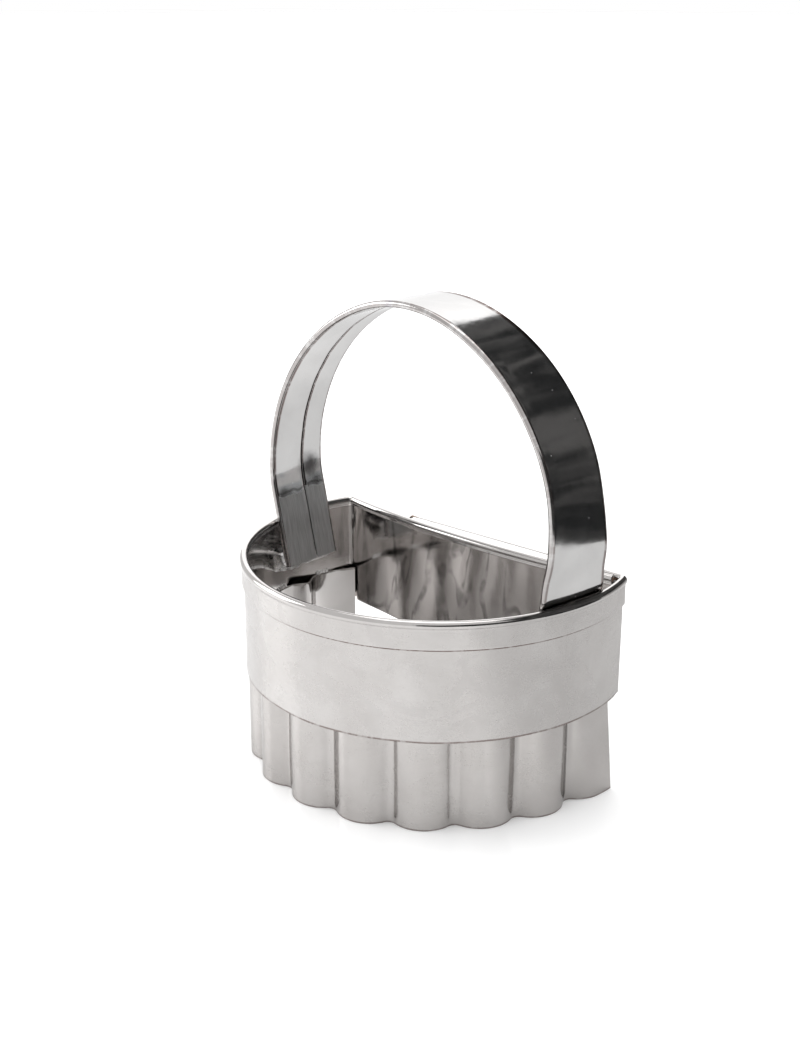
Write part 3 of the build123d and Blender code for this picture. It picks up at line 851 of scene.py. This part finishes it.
def arch_path(step):
    """Middle of the strap from the right foot over the crown to the left foot."""
    foot, top = leg_place(FOOT_HEIGHT), leg_place(LEG_TOP)
    crown = 1j * (BASE + ARCH_RISE - CROWN_RADIUS)
    runs = [
        line(foot, top, step),
        arc(complex(SHOULDER_X, BASE), SHOULDER_RADIUS, -TUCK_ANGLE, TUCK_ANGLE, step),
        arc(complex(UPPER_X, BASE), UPPER_RADIUS, 0, UPPER_TURN, step),
        arc(crown, CROWN_RADIUS, UPPER_TURN, 2 * CROWN_TURN, step),
        arc(complex(-UPPER_X, BASE), UPPER_RADIUS, 90 + CROWN_TURN, UPPER_TURN, step),
        arc(complex(-SHOULDER_X, BASE), SHOULDER_RADIUS, 180, TUCK_ANGLE, step),
        line(mirrored(top), mirrored(foot), step),
    ]
    return joined(runs)


def strap_section():
    """Outline of the folded strip: towards the back, and out of the arch."""
    half = STRAP_THICKNESS / 2
    hollow = half - SHEET
    fold = STRAP_WIDTH / 2 - half
    lip = 0.13
    fold_margin = 0.4
    lip_margin = 0.6
    back = SLIT_OFFSET + SLIT_WIDTH / 2
    near = SLIT_OFFSET - SLIT_WIDTH / 2
    span = np.linspace(-fold + fold_margin, fold - fold_margin, 22)
    behind = span[span > back + lip_margin]
    before = span[span < near - lip_margin]
    parts = [
        behind - 1j * half,
        arc(complex(fold, 0), half, -90, 180, 0.14)[0],
        span[::-1] + 1j * half,
        arc(complex(-fold, 0), half, 90, 180, 0.14)[0],
        before - 1j * half,
        arc(complex(near - lip, lip - half), lip, -90, 90, 0.06)[0],
        arc(complex(near - lip, -hollow - lip), lip, 0, 90, 0.06)[0],
        before[::-1] - 1j * hollow,
        arc(complex(-fold, 0), hollow, 270, -180, 0.12)[0],
        span + 1j * hollow,
        arc(complex(fold, 0), hollow, 90, -180, 0.12)[0],
        behind[::-1] - 1j * hollow,
        arc(complex(back + lip, -hollow - lip), lip, 90, 90, 0.06)[0],
        arc(complex(back + lip, lip - half), lip, 180, 90, 0.06)[0],
    ]
    return np.concatenate(parts)


# How the strap departs from a plain arch, because it was bent by hand to the round wall
FOOT_BOW = 0.62
FOOT_WIDENING = 0.075
FOOT_SKEW = 0.8
FOOT_FLATTENING = 0.35
WAIST = 0.5
RIGHT_TWIST = (0.5, 0.85)
RIGHT_FRONT_TUCK = 0.2
LEFT_TWIST = (0.75, -0.45)
SIDE_FADE = 30
LOW_FADE = (RIM_TOP + 2, RIM_TOP + 22)
FOOTING_FADE = (RIM_TOP - 1, RIM_TOP + 8)
WAIST_RISE = (RIM_TOP, RIM_TOP + 6)
WAIST_FALL = (RIM_TOP + 12, RIM_TOP + 28)
strap_wave = ripples(41, 14, 40)
flap_wave = ripples(43, 8, 24)
STRAP_WAVE = 0.035
FLAP_WAVE = 0.05
FOLD_STIFF = (4.6, 6.4)


def lowness(height):
    """1 at the feet of the strap, 0 up in the arch."""
    return 1 - smooth(height, *LOW_FADE)


def footing(height):
    """1 where the right foot lies against the rim, 0 above it."""
    return 1 - smooth(height, *FOOTING_FADE)


def strap_spread(x, height, over):
    """How far the strap's edges stand out, because the feet follow the round wall."""
    back = over / STRAP_WIDTH + 0.5
    low = lowness(height)
    waist = smooth(height, *WAIST_RISE) * (1 - smooth(height, *WAIST_FALL))
    bow = FOOT_BOW * (1 - (2 * back - 1) ** 2) * footing(height)
    twist = back * (RIGHT_TWIST[0] + RIGHT_TWIST[1] * low) - (1 - back) * RIGHT_FRONT_TUCK * low
    right = twist - WAIST * waist + bow
    left = back * (LEFT_TWIST[0] + LEFT_TWIST[1] * low)
    return smooth(x, 0, SIDE_FADE) * right - smooth(-x, 0, SIDE_FADE) * left


def make_strap():
    """Folded strap handle."""
    points, sides, lengths = arch_path(0.8)
    section = strap_section()
    across, out = section.real, section.imag
    face = smooth(out, 0.2, 0.5)[None]
    flap = smooth(-out, 0.2, 0.25)[None]
    inside = 1 - smooth(np.abs(across), *FOLD_STIFF)[None]
    at, over = lengths[:, None], across[None]
    shift = inside * (
        STRAP_WAVE * face * strap_wave(at, over) + FLAP_WAVE * flap * flap_wave(at, over)
    )
    right = smooth(points.real, 0, SIDE_FADE)
    foot = (footing(points.imag) * right)[:, None]
    plane = points[:, None] + sides[:, None] * (out[None] * (1 - FOOT_FLATTENING * foot) + shift)
    plane = plane + strap_spread(points.real[:, None], points.imag[:, None], over)
    flat = 1 + FOOT_WIDENING * (lowness(points.imag) * right)[:, None]
    back = np.clip(over / STRAP_WIDTH + 0.5, 0, 1)
    y = STRAP_Y + over * flat + FOOT_SKEW * foot * back
    grid = np.stack([plane.real, y, plane.imag], axis=-1)
    return swept("handle_strap_shown", grid, lengths, strap_tin())


fitted(make_strap(), "handle_strap")


def dress(node, material):
    """Gives a CAD node a procedural material."""
    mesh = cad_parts[node].data
    mesh.materials.clear()
    mesh.materials.append(material)


dress("rim_wire", wire_steel())
dress("blade_solder", solder)
dress("lap_solder", lap_solder)

# Solder behind the feet: its reach, how its ends draw in, and how lumpy it is
SOLDER_RISE = 3.6
SOLDER_DROP = 2.2
SOLDER_SPREAD = 0.7
SOLDER_INSET = 0.02
SOLDER_LEAST = 0.05
WALL_CLEARANCE = 0.01
END_SQUARENESS = 6
TOP_DRAW = 1.2
FOOT_DRAW = 1.6
FOOT_LIFT = (0.1, 0.9)
CROWN_DROP = 1.4
SAG = (0.35, 0.75)
RUN_UNEVEN = 0.75
RUN_CURVE = 1.2
TOP_UNEVEN = 0.35
PAD_RINGS = 90


def make_foot_solder(side, seed):
    """Lumpy solder between a foot of the strap and the collar wall."""
    lumps = ripples(seed, 1.6, 5.5, 12)
    half = STRAP_WIDTH / 2 + SOLDER_SPREAD - SOLDER_INSET
    edge = half - SOLDER_SPREAD
    top = FOOT_HEIGHT + SOLDER_RISE
    low = FOOT_HEIGHT - SOLDER_DROP
    inner = leg_place(FOOT_HEIGHT).real - STRAP_THICKNESS / 2 * LEG_ACROSS
    share = np.linspace(0, 1, 18)
    rise = np.linspace(0, 1, 6)[1:]
    rings = []
    for y in np.linspace(-half, half, PAD_RINGS):
        full = sqrt(max(0.0, 1 - (abs(y) / half) ** END_SQUARENESS))
        ended = 1 - full
        wall = sqrt(WALL_RADIUS**2 - (y + STRAP_SETBACK) ** 2) - WALL_CLEARANCE
        spread = side * strap_spread(side * inner, FOOT_HEIGHT, np.clip(y, -edge, edge))
        near = leg_place(top).real + spread + ended * TOP_DRAW
        foot_x = inner + spread + ended * FOOT_DRAW
        foot_z = FOOT_HEIGHT + FOOT_LIFT[0] + ended * FOOT_LIFT[1]
        slope = foot_x + (wall - foot_x) * share
        rough = 0.5 + 0.5 * lumps(y, share * 5)
        sag = np.sin(pi * np.clip(share * 1.05, 0, 1)) * (SAG[0] + SAG[1] * rough) * full
        end_z = low + RUN_UNEVEN * (0.5 - 0.5 * lumps(y * 1.2, 0))
        fall = foot_z + (end_z - foot_z) * share**RUN_CURVE
        under = np.maximum(fall - sag, low + SOLDER_LEAST)
        upper = top - ended * CROWN_DROP - TOP_UNEVEN * (0.5 + 0.5 * lumps(y, 9)) * full
        section = np.concatenate(
            [
                slope + 1j * under,
                wall + 1j * (under[-1] + (upper - under[-1]) * rise),
                (wall + (near - wall) * rise) + 1j * np.full(len(rise), upper),
                (near + (foot_x - near) * rise[:-1]) + 1j * (upper + (under[0] - upper) * rise[:-1]),
            ]
        )
        place = [side * section.real, np.full(len(section), STRAP_Y + y), section.imag]
        rings.append(np.stack(place, -1))
    grid = np.array(rings if side < 0 else rings[::-1])
    along = np.arange(PAD_RINGS) * 2 * half / (PAD_RINGS - 1)
    name = "handle_solder_left" if side < 0 else "handle_solder_right"
    fitted(swept(name + "_shown", grid, along, solder), name)


make_foot_solder(-1, 71)
make_foot_solder(1, 83)

# Solder in the groove of the lap: where it meets the rolls, how it sags and where it stops
FLOOD_CONTACT = 60.0
FLOOD_ROOT = 20.0
FLOOD_SINK = 0.04
FLOOD_SAG = 0.06
FLOOD_UNEVEN = 0.03
FLOOD_ENDS = (0.5, 1.0)


def make_lap_flood():
    """Bright solder that fills the groove between the two rims of the lap."""
    length = abs(LAP_LEFT - LAP_RIGHT)
    along = np.linspace(FLOOD_ENDS[0], length - FLOOD_ENDS[1], 90)
    lumps = ripples(97, 1.5, 6.0)
    contact = ROLL_OUTER * turned(FLOOD_CONTACT)
    root = (ROLL_OUTER - FLOOD_SINK) * turned(FLOOD_ROOT)
    share = np.linspace(0, 1, 11)
    rings = []
    for reach in along:
        base = LAP_RIGHT + LAP_RUN * reach
        sideways = dot(base - BOW_CENTRE, LAP_RUN)
        bow_gap = sqrt((BOW_RADIUS - ROLL_OFFSET) ** 2 - sideways**2)
        inner = dot(BOW_CENTRE - base, LAP_OUTWARD) - bow_gap
        left, right = inner + contact.real, ROLL_OFFSET - contact.real
        sag = np.sin(pi * share) * (FLOOD_SAG + FLOOD_UNEVEN * lumps(reach, share))
        section = np.concatenate(
            [
                [inner + root, ROLL_OFFSET - root.conjugate()],
                right + (left - right) * share + 1j * (contact.imag - sag),
            ]
        )
        plan = base + LAP_OUTWARD * section.real
        rings.append(np.stack([plan.real, plan.imag, ROLL_HEIGHT + section.imag], -1))
    piece = swept("lap_solder_flood", np.array(rings), along, lap_solder)
    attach(piece, "root")


make_lap_flood()

# Camera: fitted to the outline of the cutter in the photograph
CAMERA_PLACE = Vector((204.18, CENTRE.imag - 224.64, RIM_TOP + 108.42)) * MM
CAMERA_AZIMUTH = 43.7235
CAMERA_ELEVATION = 18.643
CAMERA_ROLL = 0.05
CAMERA_LENS = 53.924
CAMERA_SENSOR = 36.0


def make_camera():
    """Camera at the photograph's angle."""
    azimuth, elevation = radians(CAMERA_AZIMUTH), radians(CAMERA_ELEVATION)
    back = Vector(
        (sin(azimuth) * cos(elevation), -cos(azimuth) * cos(elevation), sin(elevation))
    )
    right = Vector((cos(azimuth), sin(azimuth), 0))
    level = Matrix((right, back.cross(right), back)).transposed()
    data = bpy.data.cameras.new("camera")
    data.sensor_fit = "VERTICAL"
    data.sensor_height = CAMERA_SENSOR
    data.lens = CAMERA_LENS
    data.clip_start = 0.01
    camera = shown("camera", data)
    turn = level @ Matrix.Rotation(radians(CAMERA_ROLL), 3, "Z")
    camera.matrix_world = Matrix.Translation(CAMERA_PLACE) @ turn.to_4x4()
    bpy.context.scene.camera = camera


make_camera()

# Stage, in metres: a white table, and cards that only reflections see
TABLE_REACH = 12.0
TABLE_TONE = 0.97
CARD_TOWARD = 46.8
CARD_DISTANCE = 0.212
CARDS_RIGHT = (-0.25, 0.003)
CARDS_LEFT = (0.003, 0.45)
CARD_BOTTOM = 0.0005
CARD_TOP = 0.5
SKIRT_TOP = 0.062
FLAG_TONES = (0.018, 0.085)
SKIRT_TONES = (0.28, 0.4)
DUSK_TONE = 0.67
DUSK_NEAR = 0.02
DUSK_SIDES = (-0.2, 0.3)
DUSK_FADES = (0.045, 0.09)
DUSK_HEIGHT = 0.0003


def plate(name, corners, material):
    """Flat stage piece through corners in metres."""
    mesh = bpy.data.meshes.new(name)
    mesh.from_pydata(corners, [], [list(range(len(corners)))])
    mesh.materials.append(material)
    piece = shown(name, mesh)
    return piece


def make_floor():
    """White table, a little glossy, that goes far past the view."""
    graph = Graph("white_table")
    graph.surface(Base_Color=grey(TABLE_TONE), Roughness=0.12, Specular_IOR_Level=0.2)
    signs = ((-1, -1), (1, -1), (1, 1), (-1, 1))
    plate("floor", [(x * TABLE_REACH, y * TABLE_REACH, 0) for x, y in signs], graph.material)


def only_reflected(card):
    """Hides a card from all but glossy rays."""
    card.visible_camera = False
    card.visible_diffuse = False
    card.visible_shadow = False
    card.visible_transmission = False


def make_flag(name, distance, toward, sideways, heights, tones=FLAG_TONES):
    """Dark card that only reflections see: it stands across a direction, between two heights."""
    graph = Graph(name + "_black")
    cloud = graph.remap(graph.noise(graph.place((1, 1, 1.6)), 60, 3, 0.6, 0.5), 0.4, 0.62, 0, 1)
    colour = graph.blend(cloud, grey(tones[0], -0.04), grey(tones[1], 0.02))
    graph.surface(Base_Color=colour, Roughness=0.9, Specular_IOR_Level=0.0)
    near, far = (turned(toward) * complex(distance, reach) for reach in sideways)
    low, high = heights
    corners = [
        (near.real, near.imag, low),
        (far.real, far.imag, low),
        (far.real, far.imag, high),
        (near.real, near.imag, high),
    ]
    only_reflected(plate(name, corners, graph.material))


def make_dusk():
    """Card flat on the table that only reflections see, with painted shade: the table gets darker away
    from it.
    """
    graph = Graph("dusk_grey")
    spot = graph.node(
        "ShaderNodeVectorRotate",
        {"Vector": graph.place(), "Angle": -radians(CARD_TOWARD)},
        rotation_type="Z_AXIS",
    ).outputs[0]
    split = graph.node("ShaderNodeSeparateXYZ", {"Vector": spot}).outputs
    away = graph.remap(split["X"], DUSK_NEAR, DUSK_NEAR + DUSK_FADES[0], 0, 1)
    aside = graph.remap(split["Y"], DUSK_SIDES[0], DUSK_SIDES[0] + DUSK_FADES[1], 0, 1)
    colour = graph.blend(graph.times(away, aside), grey(TABLE_TONE), grey(DUSK_TONE))
    graph.surface(Base_Color=colour, Roughness=0.6, Specular_IOR_Level=0.0)
    right, left = DUSK_SIDES
    outline = (
        complex(DUSK_NEAR, right),
        complex(CARD_DISTANCE, right),
        complex(CARD_DISTANCE, left),
        complex(DUSK_NEAR, left),
    )
    corners = [turned(CARD_TOWARD) * corner for corner in outline]
    places = [(corner.real, corner.imag, DUSK_HEIGHT) for corner in corners]
    only_reflected(plate("dusk", places, graph.material))


def make_softbox(name, place, aim, size, power):
    """Square soft light."""
    data = bpy.data.lights.new(name, "AREA")
    data.shape = "SQUARE"
    data.size = size
    data.energy = power
    light = shown(name, data)
    light.location = place
    light.rotation_euler = (Vector(place) - Vector(aim)).to_track_quat("Z", "Y").to_euler()
    light.visible_camera = False


def make_world(fill):
    """White surroundings for the eye and for reflections, with a softer fill on the object."""
    world = bpy.data.worlds.new("studio")
    world.use_nodes = True
    tree = world.node_tree
    ground = tree.nodes["Background"]
    ground.inputs["Color"].default_value = (1, 1, 1, 1)
    path = tree.nodes.new("ShaderNodeLightPath")
    seen = path.outputs["Is Camera Ray"]
    for ray in ("Is Glossy Ray", "Is Transmission Ray"):
        either = tree.nodes.new("ShaderNodeMath")
        either.operation = "MAXIMUM"
        tree.links.new(seen, either.inputs[0])
        tree.links.new(path.outputs[ray], either.inputs[1])
        seen = either.outputs[0]
    level = tree.nodes.new("ShaderNodeMapRange")
    level.inputs["To Min"].default_value = fill
    level.inputs["To Max"].default_value = 1.0
    tree.links.new(seen, level.inputs["Value"])
    tree.links.new(level.outputs["Result"], ground.inputs["Strength"])
    bpy.context.scene.world = world


make_floor()
make_dusk()
make_flag("flag_right", CARD_DISTANCE, CARD_TOWARD, CARDS_RIGHT, (CARD_BOTTOM, CARD_TOP))
make_flag("flag_behind", CARD_DISTANCE, CARD_TOWARD, CARDS_LEFT, (SKIRT_TOP, CARD_TOP))
make_flag("skirt_behind", CARD_DISTANCE, CARD_TOWARD, CARDS_LEFT, (CARD_BOTTOM, SKIRT_TOP), SKIRT_TONES)
make_flag("flag_front", 0.3, -12.0, (-0.3, 0.26), (CARD_BOTTOM, 0.2))
make_softbox("softbox_top", (-0.1, 0.1, 0.9), aim=(0, 0, 0), size=0.6, power=2.0)
make_softbox("softbox_back", (-0.62, 0.65, 0.34), aim=(0, 0, 0.06), size=0.8, power=2.3)
make_softbox("softbox_left", (-0.7, -0.35, 0.35), aim=(0, 0, 0.03), size=0.5, power=2.8)
make_world(fill=1.16)

bpy.context.scene.view_settings.view_transform = "Standard"
